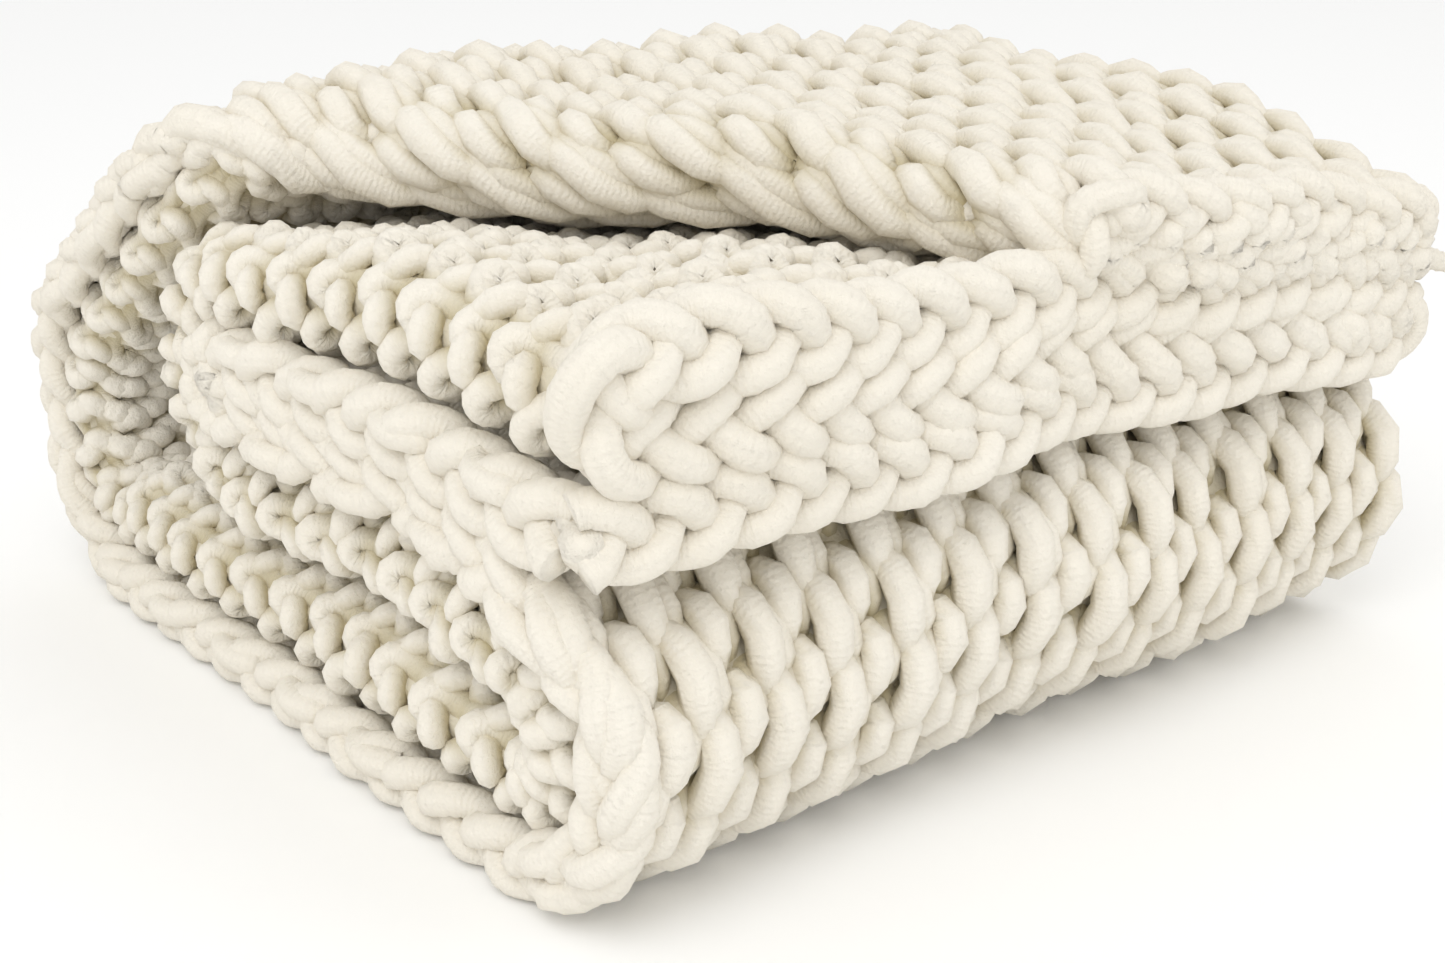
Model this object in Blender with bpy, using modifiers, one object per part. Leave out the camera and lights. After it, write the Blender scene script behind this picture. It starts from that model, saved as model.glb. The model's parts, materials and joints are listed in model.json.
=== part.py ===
"""A chunky hand-knitted throw, folded in thirds across its width and then wrapped in four passes.

The knitted panel is one fabric. Folding makes three leaves that lie on each other as a strip, and the
strip is laid in passes: bottom, middle, top, and a flap that comes round the back and over the pile.
X runs along the leaves, Y from the front of the pile to its back, Z up. The pile stands on Z = 0.
"""

import math

import bmesh
import bpy
from mathutils import Vector

# Driving dimensions, in metres.
LEAF_LENGTH = 0.430        # along X, over the bends at both ends of a leaf
PILE_DEPTH = 0.448         # along Y, from the front bend to the bulge at the back
LEAF_THICKNESS = 0.0220    # one leaf in the bottom and middle passes
FLAP_LEAF_THICKNESS = 0.0145   # a leaf in the flap and round the back, where the fabric is drawn out
CLEARANCE = 0.0004         # kept between neighbouring leaves
BACK_RADIUS = 0.078        # outer radius of the bend at the bottom of the back
BACK_LEAN = math.radians(51.0)     # how far that bend turns past upright
HINGE_FROM_BACK = 0.148    # the fold line on which the flap opens, from the back of the pile
BACK_GAP = 0.0023          # between the inner rear bend and the wrap that leans over it
TOP_HEIGHT = 0.222         # the top pass at its tallest corner, front left
TOP_FALL_X = 0.125         # how much the top pass loses in height, per metre along X
TOP_FALL_Y = 0.085         # and per metre along Y
EDGE_RADIUS = 0.0125       # cast-on and bind-off edges, which are thick braids
CREST_FROM_HINGE = 0.100   # how far in front of its fold line the flap is highest
FLAP_SEAT = 0.007          # how far the flap's front edge sinks into the soft top pass
FLAP_DROP = 0.022          # how much lower its front edge is than its highest line
FLAP_FRONT_X = 0.205       # the flap's front left corner, measured from the left end
FLAP_BACK_X = 0.012        # the flap's left edge at its fold line
FLAP_TILT = 0.090          # the flap sinks this much per metre along X
TAIL_LENGTH = 0.030
TAIL_RADIUS = 0.0050

SKEW = 1.2                 # how much wider an edge measures along X where it runs aslant
SQUARE_END = 0.006         # the stretch at its ends where an aslant edge turns square to the fold line
FLAP_STEPS = 6             # flats along each half of the flap
BACK_STEPS = 18            # flats along the bend round the back
BACK_INSET = 0.001         # the share of the back's run left clear at both its ends

STRIP = 3 * LEAF_THICKNESS
FLAP_STRIP = 3 * FLAP_LEAF_THICKNESS
LEFT, RIGHT = 0.0, LEAF_LENGTH
ORIGIN = Vector(((LEAF_LENGTH + TAIL_LENGTH) / 2, PILE_DEPTH / 2, CLEARANCE / 2))
HINGE_Y = PILE_DEPTH - HINGE_FROM_BACK
FLAP_CREST_Y = HINGE_Y - CREST_FROM_HINGE
FLAP_HALF_Y = HINGE_Y / 2      # the line across the flap's middle on which its front half folds
FLAP_FRONT = TOP_HEIGHT - TOP_FALL_X * FLAP_FRONT_X + FLAP_STRIP - FLAP_SEAT
FLAP_CREST = FLAP_FRONT + FLAP_DROP
LEAVES = ("outer", "middle", "inner")
EDGE_LOOKS = {"selvedge": "braid", "bend": "fold"}

COLOURS = {
    "knit": ((0.86, 0.82, 0.72, 1.0), 0.95),
    "braid": ((0.90, 0.87, 0.79, 1.0), 0.95),
    "fold": ((0.82, 0.78, 0.68, 1.0), 0.95),
}


def clear_scene():
    for old in list(bpy.data.objects):
        bpy.data.objects.remove(old, do_unlink=True)


def collection_named(name):
    made = bpy.data.collections.new(name)
    bpy.context.scene.collection.children.link(made)
    return made


def yarn(name, kind):
    """Chenille yarn, pale and quite matt, one material for each node."""
    colour, roughness = COLOURS[kind]
    made = bpy.data.materials.new(name + "_yarn")
    made.use_nodes = True
    shader = made.node_tree.nodes["Principled BSDF"]
    shader.inputs["Base Color"].default_value = colour
    shader.inputs["Roughness"].default_value = roughness
    shader.inputs["Metallic"].default_value = 0.0
    return made


def add_object(name, data, kind, parent=None):
    """Puts a mesh or a curve, made in world coordinates, under its parent."""
    data.materials.append(yarn(name, kind))
    made = bpy.data.objects.new(name, data)
    PARTS.objects.link(made)
    if parent is not None:
        made.parent = parent
        made.matrix_parent_inverse = parent.matrix_world.inverted()
    return made


def joint_empty(name, point, parent=None):
    made = bpy.data.objects.new(name, None)
    PARTS.objects.link(made)
    made.location = Vector(point) - ORIGIN
    bpy.context.view_layer.update()
    if parent is not None:
        made.parent = parent
        made.matrix_parent_inverse = parent.matrix_world.inverted()
    bpy.context.view_layer.update()
    return made


def leaf_solid(name, place, steps=1, kind="knit", parent=None, rounding=0.004):
    """A leaf: a cube, cut across its length into steps, whose corners go to place(a, b, c), from 0 to 1.
    a runs along X, b along the strip, and c through the leaf's thickness."""
    shape = bmesh.new()
    bmesh.ops.create_cube(shape, size=1.0)
    if steps > 1:
        lengthwise = [edge for edge in shape.edges if abs(edge.verts[0].co.y - edge.verts[1].co.y) > 0.5]
        bmesh.ops.subdivide_edges(shape, edges=lengthwise, cuts=steps - 1, use_grid_fill=True)
    for vertex in shape.verts:
        a, b, c = (value + 0.5 for value in vertex.co)
        vertex.co = Vector(place(a, b, c)) - ORIGIN
    if shape.calc_volume(signed=True) < 0:
        bmesh.ops.reverse_faces(shape, faces=shape.faces)
    mesh = bpy.data.meshes.new(name)
    shape.to_mesh(mesh)
    shape.free()
    made = add_object(name, mesh, kind, parent)
    bevel = made.modifiers.new("rounded_rim", "BEVEL")
    bevel.width = rounding
    bevel.segments = 2
    bevel.limit_method = "ANGLE"
    bevel.angle_limit = math.radians(50.0)
    return made


def rope(name, points, radius, kind="braid", parent=None, last_radius=None):
    """A braided edge, a folded edge or a tail: a round tube with filled ends along its points."""
    curve = bpy.data.curves.new(name, "CURVE")
    curve.dimensions = "3D"
    curve.bevel_depth = radius
    curve.bevel_resolution = 2
    curve.use_fill_caps = True
    line = curve.splines.new("POLY")
    line.points.add(len(points) - 1)
    for slot, point in zip(line.points, points):
        slot.co = (*(Vector(point) - ORIGIN), 1.0)
    if last_radius is not None:
        line.points[-1].radius = last_radius / radius
    return add_object(name, curve, kind, parent)


# The outer face of the strip, round the back and along the flap, and the leaves under it.

BACK_CENTRE = Vector((PILE_DEPTH - BACK_RADIUS, BACK_RADIUS))
LEAN_START = BACK_CENTRE + BACK_RADIUS * Vector((math.cos(BACK_LEAN), math.sin(BACK_LEAN)))
LEAN_WAY = Vector((-math.sin(BACK_LEAN), math.cos(BACK_LEAN)))
LEAN_OUT = Vector((math.cos(BACK_LEAN), math.sin(BACK_LEAN)))
LEAN_RUN = (LEAN_START.x - HINGE_Y) / -LEAN_WAY.x
HINGE = LEAN_START + LEAN_RUN * LEAN_WAY
BOTTOM_BACK = BACK_CENTRE.x
# The middle pass turns up into the top pass where that bend, one strip deep, clears the leaning wrap,
# and so does the upper corner of the top pass.
REACH = LEAN_START.dot(LEAN_OUT) - FLAP_STRIP - BACK_GAP
BEND_BACK = (REACH - STRIP - 2 * STRIP * LEAN_OUT.y) / LEAN_OUT.x
CORNER_BACK = (REACH - TOP_HEIGHT * LEAN_OUT.y) / (LEAN_OUT.x - TOP_FALL_Y * LEAN_OUT.y)
MIDDLE_BACK = min(BEND_BACK, CORNER_BACK)
# This power makes the flap leave its fold line at the slope of the leaning back.
CREST_POWER = (HINGE_Y - FLAP_CREST_Y) / math.tan(BACK_LEAN) / (FLAP_CREST - HINGE.y)


def back_line(share, depth):
    """(y, z) at a share of the way from the bottom to the flap, depth under the outer face."""
    arc_turn = math.pi / 2 + BACK_LEAN
    arc_run = arc_turn * BACK_RADIUS
    run = share * (arc_run + LEAN_RUN)
    if run <= arc_run:
        turn = run / BACK_RADIUS - math.pi / 2
        return BACK_CENTRE + (BACK_RADIUS - depth) * Vector((math.cos(turn), math.sin(turn)))
    return LEAN_START + (run - arc_run) * LEAN_WAY - depth * LEAN_OUT


def flap_height(y):
    """The flap's upper face: level at its crest, bending down to the fold line and to the front."""
    if y > FLAP_CREST_Y:
        share = (y - FLAP_CREST_Y) / (HINGE_Y - FLAP_CREST_Y)
        return FLAP_CREST + (HINGE.y - FLAP_CREST) * share**CREST_POWER
    share = 1 - y / FLAP_CREST_Y
    return FLAP_CREST + (FLAP_FRONT - FLAP_CREST) * share**2


def flap_slope(y):
    step = 1e-4
    return (flap_height(min(y + step, HINGE_Y)) - flap_height(y - step)) / (
        min(y + step, HINGE_Y) - y + step
    )


def flap_left(y):
    """The left edge runs aslant: the front of the flap is drawn back to the right."""
    share = 1 - y / HINGE_Y
    return FLAP_BACK_X + (FLAP_FRONT_X - FLAP_BACK_X) * share


def flap_point(x, y, depth):
    slope = flap_slope(y)
    length = math.hypot(1, slope)
    sunk = FLAP_TILT * (x - flap_left(y)) * (1 - y / HINGE_Y) ** 2
    return x, y + depth * slope / length, flap_height(y) - sunk - depth / length


# The passes.

def leaf_depth(number, pitch):
    """The middle of a leaf, measured from the outer face: number 0 is the outer leaf."""
    return (number + 0.5) * pitch


def end_rooms(number, pitch):
    """The room that a leaf leaves at its left and right ends for the bend or the chain there."""
    near = pitch if number == 0 else 2 * pitch
    far = pitch if number == 2 else 2 * pitch
    return near + CLEARANCE, far + CLEARANCE


def leaf_ends(number, pitch):
    near, far = end_rooms(number, pitch)
    return LEFT + near, RIGHT - far


def ends_ropes(label, pitch, line, parent=None):
    """The left end: a selvedge chain on the outer leaf, a bend that joins the two others.
    The right end: a bend that joins the outer and middle leaves, a chain on the inner one."""
    chain = pitch / 2 - CLEARANCE
    bend = pitch - CLEARANCE
    for side, chain_leaf, bend_after in (("left", 0, 1), ("right", 2, 0)):
        for kind, radius, depth in (
            ("selvedge", chain, leaf_depth(chain_leaf, pitch)),
            ("bend", bend, (bend_after + 1) * pitch),
        ):
            x = LEFT + radius if side == "left" else RIGHT - radius
            rope(f"{side}_{kind}_{label}", line(x, depth, radius), radius, EDGE_LOOKS[kind], parent)


def build_bottom_and_middle():
    bend_centre = STRIP
    for number, leaf in enumerate(LEAVES):
        depth = leaf_depth(number, LEAF_THICKNESS)
        near, far = leaf_ends(number, LEAF_THICKNESS)
        half = (LEAF_THICKNESS - CLEARANCE) / 2

        def bottom(a, b, c):
            y = bend_centre + CLEARANCE + b * (BOTTOM_BACK - bend_centre - 2 * CLEARANCE)
            return near + a * (far - near), y, depth + (2 * c - 1) * half

        def middle(a, b, c):
            y = bend_centre + CLEARANCE + b * (MIDDLE_BACK - bend_centre - 2 * CLEARANCE)
            return near + a * (far - near), y, 2 * STRIP - depth + (2 * c - 1) * half

        def front(a, b, c):
            turn = math.pi / 2 + b * math.pi
            radius = STRIP - depth + (2 * c - 1) * half
            return (
                LEFT + a * (RIGHT - LEFT),
                bend_centre + radius * math.cos(turn),
                STRIP + radius * math.sin(turn),
            )

        leaf_solid(f"bottom_{leaf}_leaf", bottom)
        leaf_solid(f"middle_{leaf}_leaf", middle)
        leaf_solid(f"front_fold_{leaf}", front, 12, "fold")

    def bottom_line(x, depth, _radius):
        return [(x, bend_centre + CLEARANCE, depth), (x, BOTTOM_BACK - CLEARANCE, depth)]

    def middle_line(x, depth, _radius):
        z = 2 * STRIP - depth
        return [(x, bend_centre + CLEARANCE, z), (x, MIDDLE_BACK - CLEARANCE, z)]

    ends_ropes("bottom", LEAF_THICKNESS, bottom_line)
    ends_ropes("middle", LEAF_THICKNESS, middle_line)


def top_height(x, y):
    return TOP_HEIGHT - TOP_FALL_X * x - TOP_FALL_Y * y


def top_level(x, y, layer):
    """Height in the top pass: layer 0 is its lower face, 3 its upper face."""
    floor = 2 * STRIP + CLEARANCE
    return floor + (top_height(x, y) - floor) * layer / 3


def build_top():
    """The top pass, whose three front ends are the cast-on edge, and the bend behind it."""
    front = 2 * EDGE_RADIUS + CLEARANCE
    for layer, leaf in enumerate(LEAVES):
        def top(a, b, c):
            x = LEFT + a * (RIGHT - LEFT)
            y = front + b * (MIDDLE_BACK - CLEARANCE - front)
            gap = CLEARANCE if c > 0.5 else 0.0
            return x, y, top_level(x, y, layer + c) - gap

        leaf_solid(f"top_{leaf}_leaf", top)

        def edge(x):
            return x, EDGE_RADIUS, top_level(x, EDGE_RADIUS, layer + 0.5)

        thinned = (top_level(RIGHT, EDGE_RADIUS, 1) - top_level(RIGHT, EDGE_RADIUS, 0)) / 2 - CLEARANCE
        rope(
            f"cast_on_edge_{leaf}", [edge(LEFT), edge(RIGHT)], EDGE_RADIUS,
            last_radius=min(EDGE_RADIUS, thinned),
        )

    # Behind, each leaf of the middle pass turns up round the leaf that lies on it.
    for number, leaf in enumerate(LEAVES):
        def turned(a, b, c):
            turn = -math.pi / 2 + b * math.pi
            reach = leaf_depth(number, LEAF_THICKNESS) + (c - 0.5) * (LEAF_THICKNESS - CLEARANCE)
            return (
                LEFT + a * (RIGHT - LEFT),
                MIDDLE_BACK + reach * math.cos(turn),
                2 * STRIP + reach * math.sin(turn),
            )

        leaf_solid(f"back_fold_{leaf}", turned, 12, "fold")


def build_back():
    for number, leaf in enumerate(LEAVES):
        depth = leaf_depth(number, FLAP_LEAF_THICKNESS)
        near, far = leaf_ends(number, FLAP_LEAF_THICKNESS)

        def wrap(a, b, c):
            share = BACK_INSET + (1 - 2 * BACK_INSET) * b
            y, z = back_line(share, depth + (c - 0.5) * (FLAP_LEAF_THICKNESS - CLEARANCE))
            return near + a * (far - near), y, z

        leaf_solid(f"back_wrap_{leaf}", wrap, BACK_STEPS)

    def back_points(x, depth, _radius):
        level = [(x, BOTTOM_BACK + CLEARANCE, depth), (x, BOTTOM_BACK + SQUARE_END, depth)]
        shares = [(1 - BACK_INSET) * step / BACK_STEPS for step in range(1, BACK_STEPS + 1)]
        return level + [(x, *back_line(share, depth)) for share in shares]

    ends_ropes("back", FLAP_LEAF_THICKNESS, back_points)


def build_flap_part(label, y_from, y_to, parent, with_edge):
    pitch = FLAP_LEAF_THICKNESS
    start = y_from + (2 * EDGE_RADIUS + CLEARANCE if with_edge else CLEARANCE)
    stop = y_to - CLEARANCE
    for number, leaf in enumerate(LEAVES):
        depth = leaf_depth(number, pitch)
        near_room, far_room = end_rooms(number, pitch)

        def spread(a, b, c):
            y = start + b * (stop - start)
            near = flap_left(y) + near_room * SKEW + SQUARE_END
            far = RIGHT - far_room
            return flap_point(near + a * (far - near), y, depth + (c - 0.5) * (pitch - CLEARANCE))

        leaf_solid(f"{label}_{leaf}_leaf", spread, FLAP_STEPS, "knit", parent)

    # The edges run aslant on the left, and turn square to the fold line for their last stretch.
    first, last = start + SQUARE_END, stop - SQUARE_END
    rows = [start, *(first + (last - first) * step / FLAP_STEPS for step in range(FLAP_STEPS + 1)), stop]

    def line(x, depth, radius):
        if x < LEAF_LENGTH / 2:
            return [flap_point(flap_left(min(max(y, first), last)) + SKEW * radius, y, depth) for y in rows]
        return [flap_point(RIGHT - radius, y, depth) for y in rows]

    ends_ropes(label, pitch, line, parent)


def build_bind_off(parent):
    """The flap's front edge: three braids, one for each leaf, laid over each other."""
    pitch = FLAP_LEAF_THICKNESS
    radius = pitch / 2 - CLEARANCE
    for number, leaf in enumerate(LEAVES):
        y = 2 * EDGE_RADIUS - radius
        depth = leaf_depth(number, pitch)
        points = [flap_point(x, y, depth) for x in (flap_left(0.0) + radius, RIGHT - radius)]
        rope(f"bind_off_edge_{leaf}", points, radius, "braid", parent)


def build_tail():
    """The end of the yarn, left loose where the cast-on edge meets the right end."""
    x, y = RIGHT, EDGE_RADIUS
    z = top_level(x, y, 1.5)
    rope("yarn_tail", [(x + 2 * CLEARANCE, y, z), (x + TAIL_LENGTH, y, z - TAIL_RADIUS)], TAIL_RADIUS)


clear_scene()
PARTS = collection_named("folded_throw")
hinge = joint_empty("flap_hinge", (LEAF_LENGTH / 2, HINGE.x, HINGE.y))
half_hinge = joint_empty(
    "flap_half_hinge", (LEAF_LENGTH / 2, FLAP_HALF_Y, flap_height(FLAP_HALF_Y)), hinge
)
build_bottom_and_middle()
build_top()
build_back()
build_flap_part("flap_rear", FLAP_HALF_Y, HINGE_Y, hinge, False)
build_flap_part("flap_front", 0.0, FLAP_HALF_Y, half_hinge, True)
build_bind_off(half_hinge)
build_tail()
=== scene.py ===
# %% [markdown]
# # A chunky chenille throw, knitted row by row and folded
#
# The real throw is one run of thick chenille yarn: cast on, knitted, bound off, then folded in thirds
# and laid in passes. The model is made the same way. One function says where each point of the knitted
# panel lies once it is folded, and one yarn runs through that panel stitch by stitch, along every row
# of every leaf, so that the ends of the pile show the same folded fabric as its faces do.

# %% Load the frame
import json
import math

import bpy
import numpy as np
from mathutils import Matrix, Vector


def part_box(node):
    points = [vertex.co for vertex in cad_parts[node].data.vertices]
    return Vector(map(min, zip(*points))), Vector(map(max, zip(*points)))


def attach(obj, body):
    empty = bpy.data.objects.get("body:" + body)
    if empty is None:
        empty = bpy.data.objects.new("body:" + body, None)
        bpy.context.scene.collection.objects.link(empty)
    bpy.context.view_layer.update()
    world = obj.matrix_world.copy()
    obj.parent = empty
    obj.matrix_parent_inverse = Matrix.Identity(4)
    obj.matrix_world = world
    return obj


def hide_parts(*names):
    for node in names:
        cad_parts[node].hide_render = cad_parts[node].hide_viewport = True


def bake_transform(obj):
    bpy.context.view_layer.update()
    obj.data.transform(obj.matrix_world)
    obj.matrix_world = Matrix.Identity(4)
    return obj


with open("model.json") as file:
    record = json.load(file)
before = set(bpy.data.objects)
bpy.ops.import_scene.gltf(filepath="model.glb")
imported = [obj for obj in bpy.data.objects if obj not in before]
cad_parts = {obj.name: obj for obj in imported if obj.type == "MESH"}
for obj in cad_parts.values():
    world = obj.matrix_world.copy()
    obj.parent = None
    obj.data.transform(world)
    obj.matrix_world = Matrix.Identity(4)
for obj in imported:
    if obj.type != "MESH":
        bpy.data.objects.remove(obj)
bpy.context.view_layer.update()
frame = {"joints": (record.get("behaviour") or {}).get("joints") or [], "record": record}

# %% [markdown]
# ## Sizes
#
# Everything that places the fabric is read off the frame: the ends of the leaves, the bend at the front,
# the two lines on which the flap folds. What is written here is what a knitter would choose: the yarn,
# the width of a stitch and the height of a row.

# %% Sizes
YARN = 0.0120              # thickness of the yarn
WALE = 0.0155              # width of a column of stitches
ROW = 0.0285               # height of a row of stitches
STITCH_STEPS = 20          # points along the yarn in one stitch
YARN_SIDES = 8             # flats round the yarn

front_low, front_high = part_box("front_fold_outer")
bind_low, bind_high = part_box("bind_off_edge_outer")

LEFT, RIGHT = front_low.x, front_high.x
STRIP = front_high.z / 2   # three leaves
LEAF = STRIP / 3
FRONT_Y = front_low.y
BEND_Y = FRONT_Y + STRIP   # the centre of the bend at the front
BOTTOM_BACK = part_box("bottom_outer_leaf")[1].y
MIDDLE_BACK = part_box("middle_outer_leaf")[1].y
BACK_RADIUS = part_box("back_wrap_outer")[1].y - BOTTOM_BACK
EDGE_CLEARANCE = 0.0008    # a thin leaf is this much thicker than its edge's node
THIN_LEAF = bind_high.y - bind_low.y + EDGE_CLEARANCE

joints = {joint["name"]: joint["pos_m"] for joint in frame["joints"]}
HINGE_Y, HINGE_Z = joints["flap_fold"][1:]
HALF_Y, HALF_Z = joints["flap_half_fold"][1:]

TOP_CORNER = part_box("top_inner_leaf")[1].z     # the top pass at its tallest corner
TOP_FALL_X, TOP_FALL_Y = 0.125, 0.085          # its fall, per metre along X and along Y
FLAP_FRONT_LEFT = bind_low.x                   # the flap's front left corner
FLAP_BACK_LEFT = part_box("left_selvedge_flap_rear")[0].x
FLAP_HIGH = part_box("flap_rear_outer_leaf")[1].z
FLAP_LIP = 0.001           # the flap's front stands this much above its edge's node
FLAP_FRONT_Z = bind_high.z + FLAP_LIP
CREST_FROM_HINGE = 0.100   # how far in front of its fold line the flap is highest
CREST_Y = HINGE_Y - CREST_FROM_HINGE
FLAP_TILT = 0.090          # the fall of the flap's front to the right, per metre
print(f"leaves of {1000 * (RIGHT - LEFT):.0f} mm, strip {1000 * STRIP:.1f} mm thick")

# %% [markdown]
# ## The folded strip
#
# Folded in thirds, the panel is a strip three leaves thick. Its outer face runs from the top pass back,
# round the inner bend, forward under it, round the bulge at the front, back along the floor, up the
# leaning back and over the pile as the flap. That route is a chain of straight runs and arcs, so it is
# laid out once as a table: where the outer face is, which way it faces, and how thick a leaf is there.

# %% The route of the strip's outer face
EDGE_ROOM = 0.017          # from the pile's front face to the first row of stitches
FLAP_ROOM = 0.006          # and to the flap's last row
LEAD = 0.030               # the route goes on straight this far past both ends, for the edge braids
ROUTE_POINTS = 120         # points along each stretch of the route
FOLD_DRAWN = 0.35          # the share of the flap's slant that it already has at its fold line

TO_HINGE = math.atan2(HINGE_Z - BACK_RADIUS, HINGE_Y - BOTTOM_BACK)
HINGE_REACH = math.hypot(HINGE_Z - BACK_RADIUS, HINGE_Y - BOTTOM_BACK)
LEAN = TO_HINGE - math.acos(BACK_RADIUS / HINGE_REACH)
LEAN_START = np.array([BOTTOM_BACK + BACK_RADIUS * math.cos(LEAN),
                       BACK_RADIUS + BACK_RADIUS * math.sin(LEAN)])
CREST_POWER = (HINGE_Y - CREST_Y) / math.tan(LEAN) / (FLAP_HIGH - HINGE_Z)


def smooth(share):
    """s^2 (3 - 2 s): a slope that starts and stops gently, from 0 to 1."""
    share = np.clip(share, 0.0, 1.0)
    return share * share * (3 - 2 * share)


def flap_height(y):
    """z = crest - drop (distance from the crest / its range)^power. The power behind the crest gives the
    flap the back's own slope at the fold line."""
    behind = np.clip((y - CREST_Y) / (HINGE_Y - CREST_Y), 0.0, 1.0)
    ahead = (CREST_Y - y) / (CREST_Y - FRONT_Y)
    rear = FLAP_HIGH + (HINGE_Z - FLAP_HIGH) * behind**CREST_POWER
    return np.where(y > CREST_Y, rear, FLAP_HIGH + (FLAP_FRONT_Z - FLAP_HIGH) * ahead**2)


def run(y, z, facing, reach, leaf, top=0.0, flap=0.0):
    """A stretch of the route: its points, the way it faces, its leaf, and its longest leaf's steps."""
    y, z, facing, leaf, top, flap = np.broadcast_arrays(y, z, facing, leaf, top, flap)
    outward = np.stack([np.cos(facing), np.sin(facing)], 1)
    longest = np.stack([y, z], 1) - reach * outward
    steps = np.linalg.norm(np.diff(longest, axis=0), axis=1)
    return np.stack([y, z, facing, leaf, top, flap], 1), steps


share = np.linspace(0, 1, ROUTE_POINTS)
down, up = -math.pi / 2, -1.5 * math.pi
top_start = FRONT_Y + EDGE_ROOM - LEAD
turn_back = down - math.pi * share
turn_front = up + math.pi * share
turn_wrap = down + (LEAN - down) * share
flap_y = HINGE_Y + (FRONT_Y + FLAP_ROOM - LEAD / 2 - HINGE_Y) * share
flap_slope = np.gradient(flap_height(flap_y), flap_y)
thinning = LEAF + (THIN_LEAF - LEAF) * smooth(share * 3)
stretches = [
    run(top_start + (MIDDLE_BACK - top_start) * share, 2 * STRIP, down, STRIP, LEAF, top=1.0),
    run(MIDDLE_BACK + 0 * share, 2 * STRIP, turn_back, STRIP - LEAF / 2, LEAF, top=1 - smooth(share)),
    run(MIDDLE_BACK + (BEND_Y - MIDDLE_BACK) * share, 2 * STRIP, up, 0, LEAF),
    run(BEND_Y + STRIP * np.cos(turn_front), STRIP + STRIP * np.sin(turn_front),
        turn_front, LEAF / 2, LEAF),
    run(BEND_Y + (BOTTOM_BACK - BEND_Y) * share, 0 * share, down, 0, LEAF),
    run(BOTTOM_BACK + BACK_RADIUS * np.cos(turn_wrap), BACK_RADIUS + BACK_RADIUS * np.sin(turn_wrap),
        turn_wrap, THIN_LEAF / 2, thinning),
    run(LEAN_START[0] + (HINGE_Y - LEAN_START[0]) * share,
        LEAN_START[1] + (HINGE_Z - LEAN_START[1]) * share,
        LEAN, 0, THIN_LEAF, flap=FOLD_DRAWN * smooth(share * 2 - 1)),
    run(flap_y, flap_height(flap_y), np.arctan2(1, -flap_slope), 0, THIN_LEAF,
        flap=FOLD_DRAWN + (1 - FOLD_DRAWN) * smooth(share * 4)),
]
ROUTE = np.concatenate([rows for rows, _ in stretches])
# A stretch starts where the one before it stops, so its first point is set a hair further along.
ROUTE_AT = np.concatenate([np.concatenate([[1e-6], steps]) for _, steps in stretches]).cumsum() - LEAD
STARTS = {name: ROUTE_AT[number * len(share)] for number, name in enumerate(
    ("top", "back_fold", "middle", "front", "bottom", "wrap", "lean", "flap"))}
LENGTH = ROUTE_AT[-1] - LEAD / 2
print(f"the strip is {LENGTH:.2f} m long; the flap starts at {STARTS['flap']:.2f} m")

# %% [markdown]
# ## The panel across the strip
#
# Across the strip the panel zigzags: the outer leaf from its free edge at the left to a bend at the right
# end, the middle leaf back to a bend at the left end, and the inner leaf out again to its free edge.
# In the flap the fabric is drawn to the right, so there the outer leaf turns down over a slanting edge
# and tucks under, and its columns of stitches run round that edge at a slant.

# %% Where each point of the panel lies
FREE_EDGE = 0.006          # the edge yarn's middle, from the end of the pile
BEND = math.pi * LEAF / 2
OUTER = RIGHT - LEFT - LEAF - FREE_EDGE
MIDDLE = RIGHT - LEFT - 2 * LEAF
WIDTH = 2 * OUTER + MIDDLE + 2 * BEND
WOBBLE = 0.0026            # how far the fabric strays from its tidy shape
BAND_BACK, BAND_FRONT = 0.022, 0.013       # the radius of the flap's turned-down edge, along it
SETTLE = 0.020             # how much lower the back and the flap lie at the right end
SETTLE_FADE = 0.4          # the share of that which is lost by the flap's front
SLACK = 0.012              # how much the flap's leaves press together


def across(q):
    """x and depth, counted in leaves, at q along the zigzag. It is straight but for two half turns, where
    x moves by half a leaf times the sine of the turn and the depth by half of one less its cosine."""
    turn_right = np.clip((q - OUTER) / BEND, 0, 1) * math.pi
    turn_left = np.clip((q - OUTER - BEND - MIDDLE) / BEND, 0, 1) * math.pi
    outward = np.minimum(q, OUTER)
    back = np.clip(q - OUTER - BEND, 0, MIDDLE)
    again = np.maximum(q - OUTER - 2 * BEND - MIDDLE, 0)
    x = LEFT + FREE_EDGE + outward - back + again + LEAF / 2 * (np.sin(turn_right) - np.sin(turn_left))
    depth = 0.5 + 0.5 * (1 - np.cos(turn_right)) + 0.5 * (1 - np.cos(turn_left))
    return x, depth


def flap_left(y):
    """x of the flap's slanting left edge: a straight line from its back corner to its front one."""
    return FLAP_BACK_LEFT + (FLAP_FRONT_LEFT - FLAP_BACK_LEFT) * (HINGE_Y - y) / (HINGE_Y - FRONT_Y)


def across_flap(q, y):
    """The same across the flap: the outer leaf goes round its slanting edge, the others stop short of it."""
    x, depth = across(q)
    band = BAND_BACK + (BAND_FRONT - BAND_BACK) * np.clip((HINGE_Y - y) / (HINGE_Y - FRONT_Y), 0, 1)
    edge = flap_left(y) + band + THIN_LEAF / 2
    past = np.where(q < OUTER, edge - x, 0)
    turn = np.clip(past / band, 0, math.pi)
    under = np.maximum(past - math.pi * band, 0)
    round_edge = edge - band * np.sin(turn) + under
    squeezed = RIGHT - (RIGHT - x) * (RIGHT - edge) / (RIGHT - LEFT - LEAF)
    x = np.where(q < OUTER, np.where(past > 0, round_edge, x), np.where(q > OUTER + BEND, squeezed, x))
    return x, np.where(past > 0, depth + band / THIN_LEAF * (1 - np.cos(turn)), depth)


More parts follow.
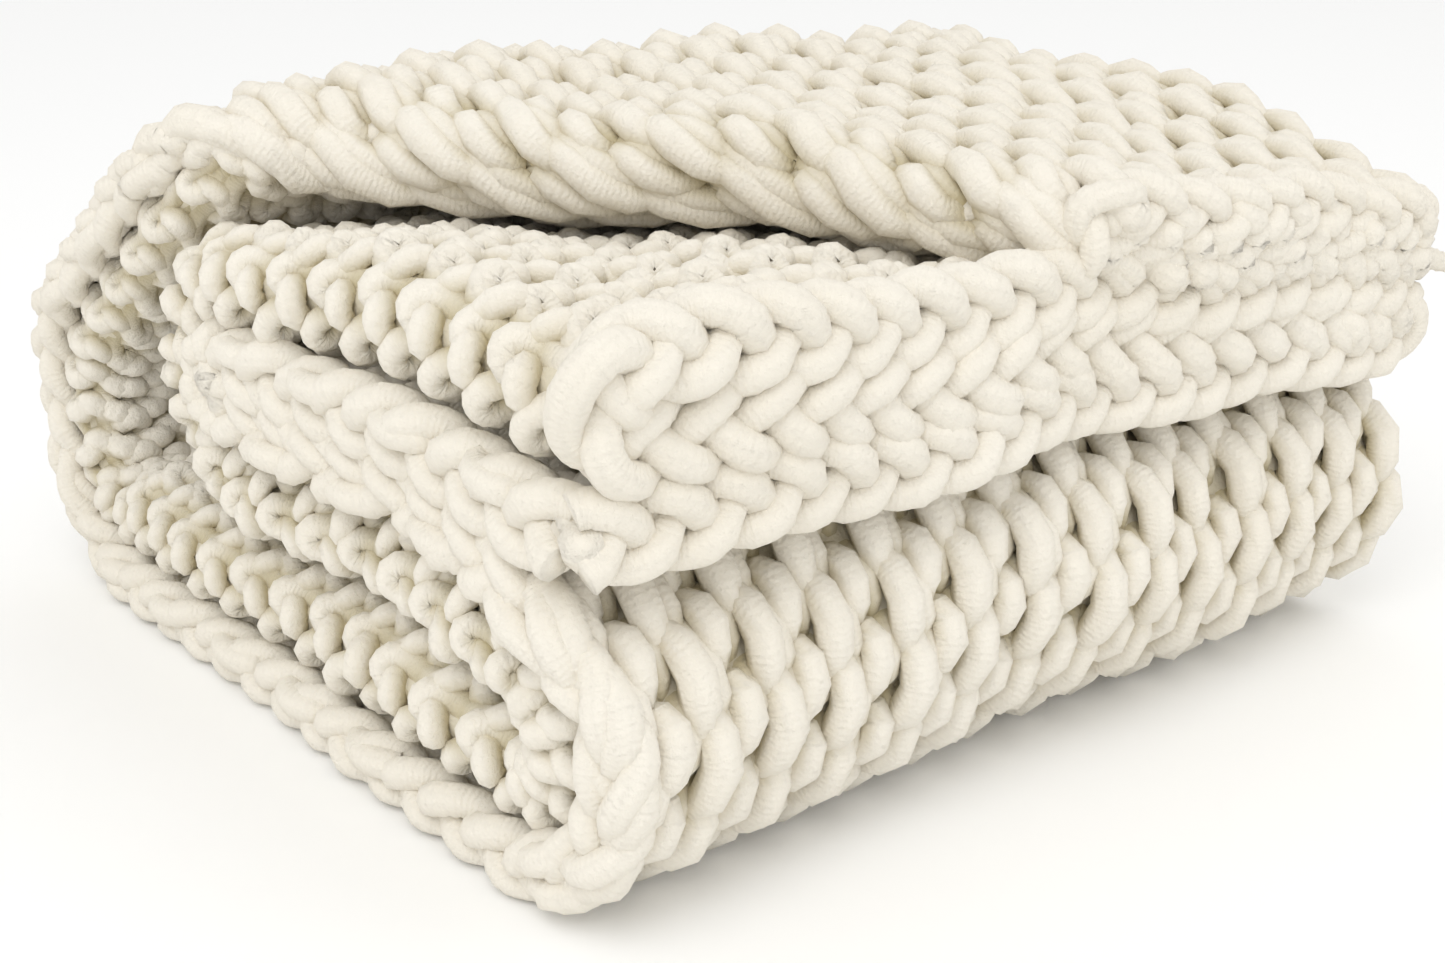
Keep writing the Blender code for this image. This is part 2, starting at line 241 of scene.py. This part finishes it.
def wobble(points):
    """A few slow waves through space, in radians per metre, so that no edge of the pile is ruled straight.
    They fade out in the last 5 cm above the floor, which is flat."""
    x, y, z = points.T
    waves = np.stack([
        np.sin(31 * y + 23 * z + 1.0) + 0.6 * np.sin(57 * z + 41 * y),
        np.sin(27 * x + 35 * z + 2.0) + 0.6 * np.sin(61 * x - 29 * z),
        np.sin(19 * x + 24 * y + 0.5) + 0.8 * np.sin(47 * x - 33 * y + 1.7),
    ], 1)
    off_floor = np.clip(z / 0.05, 0, 1)[:, None]
    return points + WOBBLE * waves * off_floor


def place(q, s):
    """The point of the panel at q across and s along: the outer face, less depth times the leaf's
    thickness, less how far the fabric has sunk there."""
    y, z, facing, leaf, top, flap = (np.interp(s, ROUTE_AT, column) for column in ROUTE.T)
    x, depth = across(q)
    x_flap, depth_flap = across_flap(q, y)
    x, depth = x + flap * (x_flap - x), depth + flap * (depth_flap - depth)
    top_height = TOP_CORNER - TOP_FALL_X * (x - LEFT) - TOP_FALL_Y * (np.minimum(y, MIDDLE_BACK) - FRONT_Y)
    leaf = leaf + top * ((top_height - 2 * STRIP) / 3 - leaf)
    ahead = np.clip((HINGE_Y - y) / (HINGE_Y - FRONT_Y), 0, 1)
    sunk = flap * FLAP_TILT * np.maximum(x - flap_left(y), 0) * ahead**2
    upper = smooth((s - STARTS["wrap"]) / (STARTS["flap"] - STARTS["wrap"]))
    sunk = sunk + upper * SETTLE * (x - LEFT) / (RIGHT - LEFT) * (1 - SETTLE_FADE * ahead)
    settled = flap * SLACK * smooth(ahead * 4)
    inward = depth * leaf + settled * (1 - depth / 3)
    points = np.stack([x, y - inward * np.cos(facing), z - inward * np.sin(facing) - sunk], 1)
    return wobble(points)


def place_with_normal(q, s, small=0.001):
    """The point, and the way that the knit side faces: the cross product of the panel's two ways."""
    along = place(q, s + small) - place(q, s - small)
    over = place(q + small, s) - place(q - small, s)
    normal = np.cross(along, over)
    return place(q, s), normal / np.maximum(np.linalg.norm(normal, axis=1, keepdims=True), 1e-9)


WALES = round(WIDTH / WALE)
ROWS = round(LENGTH / ROW)
print(f"the panel is {WIDTH:.2f} m wide: {WALES} columns and {ROWS} rows of stitches")

# %% [markdown]
# ## The yarn
#
# Chenille is a core with short pile all round, so the yarn is a plump round tube. Its path is written in
# the panel's own terms: so many columns across, so many rows along, and so far out of the panel. The tube
# is made from whole arrays, with one ring of points for each step along the path.

# %% A tube of yarn along a path in the panel
PRESSED = 0.005            # yarn lower than this is pressed flat on the floor
FUZZ = 0.0002              # how uneven the pile is round the yarn
RIM = 0.015                # yarn along the panel's edges gets no painted shade, like what stands out
OPEN = 0.0075              # yarn this far out of the panel gets no painted shade
rng = np.random.default_rng(7)


def tube(across_m, along_m, out, radius, shaded=1.0):
    """A ring at each step: P + r (cos t A + sin t B). B is square to the path and to the panel's normal,
    and A is square to both. The painted shade is 1 on yarn deep in the panel, where shade falls, and 0 on
    what stands out."""
    points, normal = place_with_normal(across_m, along_m)
    points = points + out[:, None] * normal
    ahead = np.gradient(points, axis=0)
    ahead /= np.maximum(np.linalg.norm(ahead, axis=1, keepdims=True), 1e-9)
    side = np.cross(normal, ahead)
    side /= np.maximum(np.linalg.norm(side, axis=1, keepdims=True), 1e-9)
    face = np.cross(ahead, side)
    turn = np.arange(YARN_SIDES) * 2 * math.pi / YARN_SIDES
    ring = np.cos(turn)[None, :, None] * face[:, None] + np.sin(turn)[None, :, None] * side[:, None]
    fuzz = FUZZ * rng.standard_normal((len(points), YARN_SIDES))
    vertices = (points[:, None] + (radius[:, None] + fuzz)[:, :, None] * ring).reshape(-1, 3)
    # Painted shade: yarn deep in the panel, where shade falls between the stitches, is marked to take a
    # darker colour, and the mark fades out at the panel's edges.
    height = np.abs(out[:, None] + radius[:, None] * np.cos(turn))
    inside = smooth((across_m - RIM) / RIM) * smooth((WIDTH - RIM - across_m) / RIM)
    inside = inside * smooth((along_m - RIM) / RIM) * smooth((LENGTH - RIM - along_m) / RIM)
    painted_shade = (shaded * inside[:, None] * np.clip(1 - height / OPEN, 0, 1)).ravel()
    # z = pressed e^(z / pressed - 1): the lower the yarn would lie, the flatter the floor presses it.
    low = vertices[:, 2] < PRESSED
    vertices[low, 2] = PRESSED * np.exp(vertices[low, 2] / PRESSED - 1)
    rings, flats = np.meshgrid(np.arange(len(points) - 1), np.arange(YARN_SIDES), indexing="ij")
    next_flat = (flats + 1) % YARN_SIDES
    corners = [rings * YARN_SIDES + flats, rings * YARN_SIDES + next_flat,
               (rings + 1) * YARN_SIDES + next_flat, (rings + 1) * YARN_SIDES + flats]
    quads = np.stack([corner.ravel() for corner in corners], 1)
    along = np.concatenate([[0], np.linalg.norm(np.diff(points, axis=0), axis=1).cumsum()])
    turns = np.stack([flats, flats + 1, flats + 1, flats], -1).reshape(-1) / YARN_SIDES
    lengths = along[np.stack([rings, rings, rings + 1, rings + 1], -1).reshape(-1)]
    return vertices, quads, np.stack([lengths, turns], 1), painted_shade


def mesh_piece(name, tubes):
    """One object out of several tubes, each closed by a cap at both ends."""
    vertices, quads, uvs, painted_shades, caps, count = [], [], [], [], [], 0
    for points, faces, uv, painted_shade in tubes:
        vertices.append(points)
        quads.append(faces + count)
        uvs.append(uv)
        painted_shades.append(painted_shade)
        caps += [[count + k for k in reversed(range(YARN_SIDES))],
                 [count + len(points) - YARN_SIDES + k for k in range(YARN_SIDES)]]
        count += len(points)
    mesh = bpy.data.meshes.new(name)
    faces = np.concatenate(quads).tolist() + caps
    mesh.from_pydata(np.concatenate(vertices).tolist(), [], faces)
    layer = mesh.uv_layers.new(name="yarn")
    uv_all = np.concatenate([*uvs, np.zeros((YARN_SIDES * len(caps), 2))])
    layer.data.foreach_set("uv", uv_all.astype(np.float32).ravel())
    shade = mesh.attributes.new("painted_shade", "FLOAT", "POINT")
    shade.data.foreach_set("value", np.concatenate(painted_shades).astype(np.float32))
    mesh.shade_smooth()
    made = bpy.data.objects.new(name, mesh)
    bpy.context.scene.collection.objects.link(made)
    return made


print(f"yarn of {1000 * YARN:.0f} mm, as a tube with {YARN_SIDES} flats")

# %% [markdown]
# ## The stitches
#
# Each row of a knitted fabric is one wave of yarn. It rises to a head and falls to a foot once for every
# column, its two legs lean towards each other and stand proud on the knit side, and its heads and feet
# lie at the back, inside the neighbouring rows. Here every second column sits half a row lower and a
# little deeper, as it does in this soft, loose fabric, and no stitch is quite like the next.

# %% Rows of stitches
NARROW = 0.155             # how far a stitch's legs come together, in columns
TALL = 0.56                # half the height of a stitch, in rows
PROUD = 0.0046             # how far the legs stand out, and the heads and feet in
LEG = 0.0022               # how much further out a stitch's left leg stands than its right one
PLUMP = 0.10               # and how much fatter it is
STAGGER = 0.25             # half the shift between neighbouring columns, in rows
ALTERNATE = 0.0014         # half their difference in depth
SLANT = 0.10               # how far a stitch's head leans to the left of its feet, in columns
PINCH = 0.05               # how much the yarn thins and thickens along a stitch, as parts of its radius
STRAYS = (0.05, 0.05, 0.0008, 0.05)    # how far stitches stray, in columns, rows, metres and radii
CROWDED = 0.045            # how far steps move towards the sharp turns of a stitch, in columns
LINK, LINK_STEPS = 0.32, 6 # how far the yarn swings out as it turns back at a row's end, in columns
BAND_ROWS = 7              # rows in one object, which keeps each of them light
FOLD_REACH = 0.045         # how far each side of its fold line the real fabric bends; the flap's rows start this far before it

LOFT = ([0, STARTS["back_fold"], STARTS["front"], STARTS["wrap"], STARTS["flap"], LENGTH],
        [1.45, 1.25, 1.1, 1.0, 0.8, 0.75])  # the top pass is loose and thick, the flap pressed thin


def uneven(rows, scale):
    """A value for each stitch, which slides into the next one's along the row."""
    return scale * rng.standard_normal((rows, WALES + 1))


def knit(name, first, last, body):
    """Rows first to last of the panel. In columns, rows and metres, with one turn t for each column:
    across = column + narrow sin 2t + slant cos t, along = row + 1/2 - tall cos t,
    out = leg sin t - proud cos 2t, and every second column is shifted along and in."""
    even = np.linspace(0, WALES, WALES * STITCH_STEPS + 1)
    column = even - CROWDED * np.sin(4 * math.pi * even)
    turn = 2 * math.pi * column
    every_second = np.cos(math.pi * (column - 0.5))
    rows = range(first, last)
    strays = [uneven(len(rows), scale) for scale in STRAYS]
    across_all, along_all, out_all, radius_all = [], [], [], []
    for number, row in enumerate(rows):
        stray = [np.interp(column - 0.5, np.arange(WALES + 1), values[number]) for values in strays]
        u = column + NARROW * np.sin(2 * turn) + SLANT * np.cos(turn) + stray[0]
        v = row + 0.5 - TALL * np.cos(turn) + STAGGER * every_second + stray[1]
        loose = np.interp((row + 0.5) * LENGTH / ROWS, *LOFT)
        w = loose * (LEG * np.sin(turn) - PROUD * np.cos(2 * turn)) + ALTERNATE * every_second + stray[2]
        r = YARN / 2 * (0.97 + PINCH * every_second + PLUMP * np.sin(turn) - PINCH * np.cos(2 * turn)
                        + stray[3])
        order = slice(None) if row % 2 == 0 else slice(None, None, -1)
        across_all.append(u[order])
        along_all.append(v[order])
        out_all.append(w[order])
        radius_all.append(r[order])
        if number + 1 < len(rows):
            # The yarn turns back at the end of the row, and that turn is a link of the edge's chain.
            link = np.linspace(0, 1, LINK_STEPS + 2)[1:-1]
            swing_out = LINK * np.sin(math.pi * link)
            across_all.append(WALES + swing_out if row % 2 == 0 else -swing_out)
            along_all.append(v[order][-1] + (row + 1.5 - TALL - v[order][-1]) * link)
            out_all.append(np.full(len(link), w[order][-1]))
            radius_all.append(np.full(len(link), YARN / 2))
    u, v, w, r = map(np.concatenate, (across_all, along_all, out_all, radius_all))
    made = mesh_piece(name, [tube(u * WIDTH / WALES, v * LENGTH / ROWS, w, r)])
    if body:
        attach(made, body)
    return made


first_flap_row = round((STARTS["flap"] - FOLD_REACH) / (LENGTH / ROWS))
half_flap = STARTS["flap"] + (HINGE_Y - HALF_Y) / (HINGE_Y - FRONT_Y) * (LENGTH - STARTS["flap"])
middle_flap_row = round((STARTS["flap"] + half_flap) / 2 / (LENGTH / ROWS))
cuts = list(range(0, first_flap_row, BAND_ROWS)) + [first_flap_row]
knits = []
for first, last in zip(cuts, cuts[1:]):
    knits.append(knit(f"knit_rows_{first:02d}", first, last, "root"))
rear_knit = knit("knit_flap_rear", first_flap_row, middle_flap_row, None)
front_knit = knit("knit_flap_front", middle_flap_row, ROWS, None)
faces = sum(len(band.data.polygons) for band in [*knits, rear_knit, front_knit])
print(len(knits) + 2, "bands of rows,", faces, "faces")

# %% [markdown]
# ## The edges
#
# Knitting starts and ends in a chain, which shows from the edge as a plait of plump links, and the turns
# of the yarn make a longer-linked chain up each side. Three strands of a plait, each a third of a turn
# behind the next, make that shape: the strands swing out of the panel and back as they go along it.

# %% Plaited edges
SWING = 0.0072             # how far a strand swings out of the panel, each way
CROSSING = 0.0042          # how far it moves in and out of the edge, as strands cross
CHAIN = 0.066              # the length of a strand's turn, which shows as three links
SIDE_CHAIN = 0.078         # the same up the long sides
PLAIT_STEPS = 15           # steps for each shown link
EDGE_STRAY = 0.0009        # how far a strand strays from its course
STRAY_POINTS = 40          # how often it does so, along one edge
SIDE_IN = 0.002            # how far in from the panel's long sides their chains run
EDGE_START, EDGE_END = -0.006, LENGTH + 0.004  # where the chains across the panel run
TUCK = 0.008               # how far the bind-off edge's hidden leaves lie behind its outer one
BIND_OFF_SWING = 0.0095    # the bind-off is the loosest of the chains


def plait(name, first, last, turn_length, edge, body, swing=SWING):
    """Strand k, at angle a along the edge: out = swing sin(a + 2 pi k / 3), and the place across the edge
    moves by crossing sin(2 (a + 2 pi k / 3)). edge(along, in_from_edge) gives the panel's own q and s."""
    along = np.linspace(first, last, max(round(abs(last - first) / turn_length * 3 * PLAIT_STEPS), 8))
    tubes = []
    for strand in range(3):
        angle = 2 * math.pi * (along / turn_length + strand / 3)
        strays = rng.standard_normal(STRAY_POINTS) * EDGE_STRAY
        stray = np.interp(along, np.linspace(first, last, STRAY_POINTS), strays)
        q, s = edge(along, CROSSING * np.sin(2 * angle) + stray)
        loose = np.interp(s, *LOFT)
        radius = YARN / 2 * (1.02 + 0.05 * np.cos(angle)) * loose**0.3
        # The edge chains take 0.35 of the painted shade in their deep parts.
        tubes.append(tube(q, s, loose * swing * np.sin(angle) + stray, radius, shaded=0.35))
    made = mesh_piece(name, tubes)
    if body:
        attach(made, body)
    return made


def at_start(along, inward):
    return along, EDGE_START + inward


def at_end(along, inward):
    under = smooth((along - OUTER) / BEND)
    return along, EDGE_END - inward - TUCK * under


def at_left(along, inward):
    return SIDE_IN + inward, along


def at_right(along, inward):
    return WIDTH - SIDE_IN - inward, along


hinge_at = first_flap_row * LENGTH / ROWS
half_at = middle_flap_row * LENGTH / ROWS
cast_on = plait("cast_on_edge", 0.0, WIDTH, CHAIN, at_start, "root")
bind_off = plait("bind_off_edge", 0.0, WIDTH, CHAIN, at_end, "flap_front", swing=BIND_OFF_SWING)
side_edges = {}
for side, edge in (("left", at_left), ("right", at_right)):
    side_edges[side] = [plait(f"{side}_edge_{part}", first, last, SIDE_CHAIN, edge, body)
                        for part, first, last, body in (("pile", 0.0, hinge_at, "root"),
                                                        ("flap_rear", hinge_at, half_at, None),
                                                        ("flap_front", half_at, LENGTH, None))]
left_edges, right_edges = side_edges["left"], side_edges["right"]
print("edges:", *[edge.name for edge in (cast_on, bind_off, *left_edges, *right_edges)])

# %% [markdown]
# ## The loose end
#
# The yarn that was cast on first ends in a short tail, which sticks out past the inner leaf's free edge.
# It is the same tube on a path of its own: straight out, with a little curl, and thinner at its tip.

# %% The yarn's loose end
TAIL_IN, TAIL_OUT = 0.012, 0.027       # where it starts inside the edge, and how far it sticks out
TAIL_CURL = 0.006          # how far it curls forward and down on its way
TAIL_STEPS = 30

reach = np.linspace(0, 1, TAIL_STEPS)
tail = mesh_piece("yarn_tail_end", [tube(
    WIDTH - TAIL_IN + (TAIL_IN + TAIL_OUT) * reach, EDGE_START - TAIL_CURL * reach**2,
    -TAIL_CURL * np.sin(math.pi * reach), YARN / 2 * (0.9 - 0.35 * reach**4), shaded=0.0)])
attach(tail, "root")
print("tail:", tail.name, len(tail.data.polygons), "faces")

# %% [markdown]
# ## The painted-shade sheet behind the stitches
#
# Between plump stitches one sees the next layer of the same yarn, in shade. A thin sheet through the
# middle of the panel closes those gaps: it is the panel's own surface, folded with it, coloured as painted
# shade.

# %% The panel's own sheet
SHEET_STEP = 0.007         # between the sheet's points
SHEET_RIM = 0.004          # the sheet stops short of the panel's sides by this much
SHEET_BEHIND = 0.001       # and lies this far behind the middle of the panel


def panel_sheet(name, first, last, body):
    """A grid over the panel's middle surface from s = first to last: one point for each step both ways."""
    q, s = np.meshgrid(np.linspace(SHEET_RIM, WIDTH - SHEET_RIM, round(WIDTH / SHEET_STEP)),
                       np.linspace(first, last, round((last - first) / SHEET_STEP)), indexing="ij")
    points, normal = place_with_normal(q.ravel(), s.ravel())
    points = points - SHEET_BEHIND * normal
    number = np.arange(q.size).reshape(q.shape)
    quads = np.stack([number[:-1, :-1], number[1:, :-1], number[1:, 1:], number[:-1, 1:]], -1)
    quads = quads.reshape(-1, 4)
    mesh = bpy.data.meshes.new(name)
    mesh.from_pydata(points.tolist(), [], quads.tolist())
    mesh.shade_smooth()
    made = bpy.data.objects.new(name, mesh)
    bpy.context.scene.collection.objects.link(made)
    if body:
        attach(made, body)
    return made


pile_sheet = panel_sheet("panel_pile", 0.0, hinge_at, "root")
rear_sheet = panel_sheet("panel_flap_rear", hinge_at, half_at, None)
front_sheet = panel_sheet("panel_flap_front", half_at, LENGTH, None)
sheets = [pile_sheet, rear_sheet, front_sheet]
print("sheets:", *[f"{sheet.name} {len(sheet.data.vertices)} points" for sheet in sheets])

# %% [markdown]
# ## What follows what
#
# The pile stays where it is, and the flap opens on two lines. Fabric has no hinge pin: it bends over some
# length each side of the line. Here the flap's pieces stay where they were made, and the rest simply ride
# the pile. The solids of the plain model that the pieces stand for are hidden.

for piece in (rear_knit, rear_sheet, left_edges[1], right_edges[1]):
    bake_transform(piece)
for piece in (front_knit, front_sheet, left_edges[2], right_edges[2]):
    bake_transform(piece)

bodies = frame["record"]["behaviour"]["bodies"]
for knitted, names in ((knits[0], bodies["root"]), (rear_knit, bodies["flap_rear"]),
                       (front_knit, bodies["flap_front"])):
    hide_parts(*[name for name in names if "edge" not in name and name != "yarn_tail"])
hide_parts(*[name for name in bodies["root"] if "cast_on" in name])
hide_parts("yarn_tail")
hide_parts(*[name for name in bodies["flap_front"] if "bind_off" in name])
for side, edges in side_edges.items():
    for edge, body in zip(edges, ("root", "flap_rear", "flap_front")):
        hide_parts(*[name for name in bodies[body] if f"{side}_selvedge" in name])
print("bodies:", *[f"{body} {len(names)} solids" for body, names in bodies.items()])

# %% [markdown]
# ## One sheet in three stretches
#
# The throw is one flat cloth, and here its size when it is spread out is printed. Two
# fold lines cut it into stretches that move on their own, and each has its rows and its edges with it.

# %% The sheets and what goes with them
print(f"flat, the panel is {WIDTH:.3f} by {LENGTH:.3f} m")

# %% [markdown]
# ## Chenille
#
# Chenille has a matt, velvety pile in fine bands across the yarn, where each tuft is caught in the core.
# It is an ivory, and in the gaps, where light has passed through more pile, a warmer, darker painted shade
# is mixed in. The tufts are finer than a picture shows, so they are drawn as coarse as they need to be
# seen: bands 2.1 mm apart along the yarn, fluff of 1.6 mm, bent by waves of 6 mm, and a slow change of
# tone every 11 cm.

# %% Materials
TUFTS = 0.0021             # from one band of tufts to the next, along the yarn
FLUFF, BENDS, TONES = 620.0, 160.0, 9.0        # patterns to the metre
TUFT_SHIFT = 0.0028        # how far the bands stray along the yarn


def colour(code):
    """An sRGB colour such as F2EAD9 as the linear numbers that a shader takes."""
    parts = np.array([int(code[k:k + 2], 16) for k in (0, 2, 4)]) / 255
    return (*np.where(parts < 0.04045, parts / 12.92, ((parts + 0.055) / 1.055) ** 2.4), 1.0)


def add_node(tree, kind, settings=(), **inputs):
    """One more shader node: its settings, and for each input a number, a colour or another node's output."""
    made = tree.nodes.new(kind)
    for key, value in dict(settings).items():
        setattr(made, key, value)
    for key, value in inputs.items():
        numbered = key[0] == "i" and key[1:].isdigit()
        socket = made.inputs[int(key[1:]) if numbered else key.replace("_", " ")]
        if isinstance(value, bpy.types.NodeSocket):
            tree.links.new(value, socket)
        else:
            socket.default_value = value
    return made


def chenille(name, light, dark, painted_gap_shade):
    """Short soft pile is fully rough, shows the sheen of fibres at a glancing angle and hardly reflects.
    height = fluff + 0.1 sin(2 pi (along + bend) / tufts), and the gap colour is painted shade on yarn deep
    in the panel."""
    material = bpy.data.materials.new(name)
    material.use_nodes = True
    tree = material.node_tree
    tree.nodes.clear()
    where = add_node(tree, "ShaderNodeTexCoord").outputs["Object"]
    yarn = add_node(tree, "ShaderNodeUVMap", {"uv_map": "yarn"}).outputs["UV"]
    along = add_node(tree, "ShaderNodeSeparateXYZ", Vector=yarn).outputs["X"]
    tones = add_node(tree, "ShaderNodeTexNoise", Vector=where, Scale=TONES, Detail=3.0)
    fluff = add_node(tree, "ShaderNodeTexNoise", Vector=where, Scale=FLUFF, Detail=4.0, Roughness=0.7)
    bend = add_node(tree, "ShaderNodeTexNoise", Vector=where, Scale=BENDS, Detail=2.0)
    shifted = add_node(tree, "ShaderNodeMath", {"operation": "MULTIPLY_ADD"},
                       i0=bend.outputs[0], i1=TUFT_SHIFT, i2=along)
    turns = add_node(tree, "ShaderNodeMath", {"operation": "MULTIPLY"},
                     i0=shifted.outputs[0], i1=2 * math.pi / TUFTS)
    bands = add_node(tree, "ShaderNodeMath", {"operation": "SINE"}, i0=turns.outputs[0])
    height = add_node(tree, "ShaderNodeMath", {"operation": "MULTIPLY_ADD"},
                      i0=bands.outputs[0], i1=0.10, i2=fluff.outputs[0])
    bump = add_node(tree, "ShaderNodeBump", Height=height.outputs[0], Strength=0.8, Distance=0.0012)
    tone = add_node(tree, "ShaderNodeMix", {"data_type": "RGBA"},
                    i0=tones.outputs[0], i6=colour(light), i7=colour(dark))
    painted_shade = add_node(tree, "ShaderNodeAttribute", {"attribute_name": "painted_shade"})
    deep = add_node(tree, "ShaderNodeMix", {"data_type": "RGBA"},
                    i0=painted_shade.outputs["Fac"], i6=tone.outputs[2], i7=colour(painted_gap_shade))
    surface = add_node(tree, "ShaderNodeBsdfPrincipled", Base_Color=deep.outputs[2], Roughness=0.95,
                       Normal=bump.outputs[0], Sheen_Weight=0.35, Sheen_Roughness=0.45,
                       Sheen_Tint=colour("FFF8EA"), Specular_IOR_Level=0.1)
    add_node(tree, "ShaderNodeOutputMaterial", Surface=surface.outputs[0])
    return material


# The last colour of each is the painted shade for yarn deep in the panel.
yarn_material = chenille("ivory_chenille_yarn", "F8F3E8", "F0E9DA", "C6B992")
# The sheets take a darker copy of the yarn's colours: painted shade for the gaps between the stitches.
shade_material = chenille("shaded_chenille_yarn", "EAE3D0", "DFD6BE", "B5A680")
for piece in [*knits, rear_knit, front_knit, cast_on, bind_off, tail, *left_edges, *right_edges]:
    piece.data.materials.append(yarn_material)
for piece in sheets:
    piece.data.materials.append(shade_material)
print("finishes:", yarn_material.name, "and", shade_material.name)

# %% [markdown]
# ## The studio
#
# The throw stands on a white surface in soft light that comes mostly from above and from the left.

# %% Floor, light and camera
FLOOR_SIZE, FLOOR_BELOW = 8, 0.0006    # the floor lies a hair under the yarn
DAYLIGHT = 0.92            # the soft light from all round
AIM = (0, 0, 0.1)          # the lights look at the middle of the pile

bpy.ops.mesh.primitive_plane_add(size=FLOOR_SIZE, location=(0, 0, -FLOOR_BELOW))
floor = bpy.context.object
floor.name = "studio_floor"
# Uncoated paper is matt and nearly white, so the pile's soft shadow is all that marks the floor.
paper = bpy.data.materials.new("white_studio_paper")
paper.use_nodes = True
paper_inputs = paper.node_tree.nodes["Principled BSDF"].inputs
paper_inputs["Base Color"].default_value = colour("FCFCFB")
paper_inputs["Roughness"].default_value = 0.8
floor.data.materials.append(paper)

world = bpy.data.worlds.new("studio")
bpy.context.scene.world = world
world.use_nodes = True
sky = world.node_tree.nodes["Background"].inputs
sky["Color"].default_value = colour("FFFFFF")
sky["Strength"].default_value = DAYLIGHT
bpy.context.scene.view_settings.view_transform = "Standard"


def area_light(name, place_at, size, power):
    """A square light of this size and power in watts that looks at the pile."""
    data = bpy.data.lights.new(name, "AREA")
    data.size, data.energy = size, power
    light = bpy.data.objects.new(name, data)
    light.location = place_at
    light.rotation_euler = (Vector(AIM) - Vector(place_at)).to_track_quat("-Z", "Y").to_euler()
    bpy.context.scene.collection.objects.link(light)


area_light("key", (-1.3, -0.9, 1.9), size=1.4, power=14)
area_light("fill", (1.4, -1.6, 1.2), size=1.6, power=4)

camera_data = bpy.data.cameras.new("camera")
camera_data.lens, camera_data.sensor_width = 50, 36
camera = bpy.data.objects.new("camera", camera_data)
camera.location = (-0.540, -0.6638, 0.3684)
camera.rotation_euler = (math.radians(90 - 20.55), 0, -math.radians(39.04))
bpy.context.scene.collection.objects.link(camera)
bpy.context.scene.camera = camera
print(f"the camera stands {camera.location.length:.2f} m from the middle of the pile's underside")
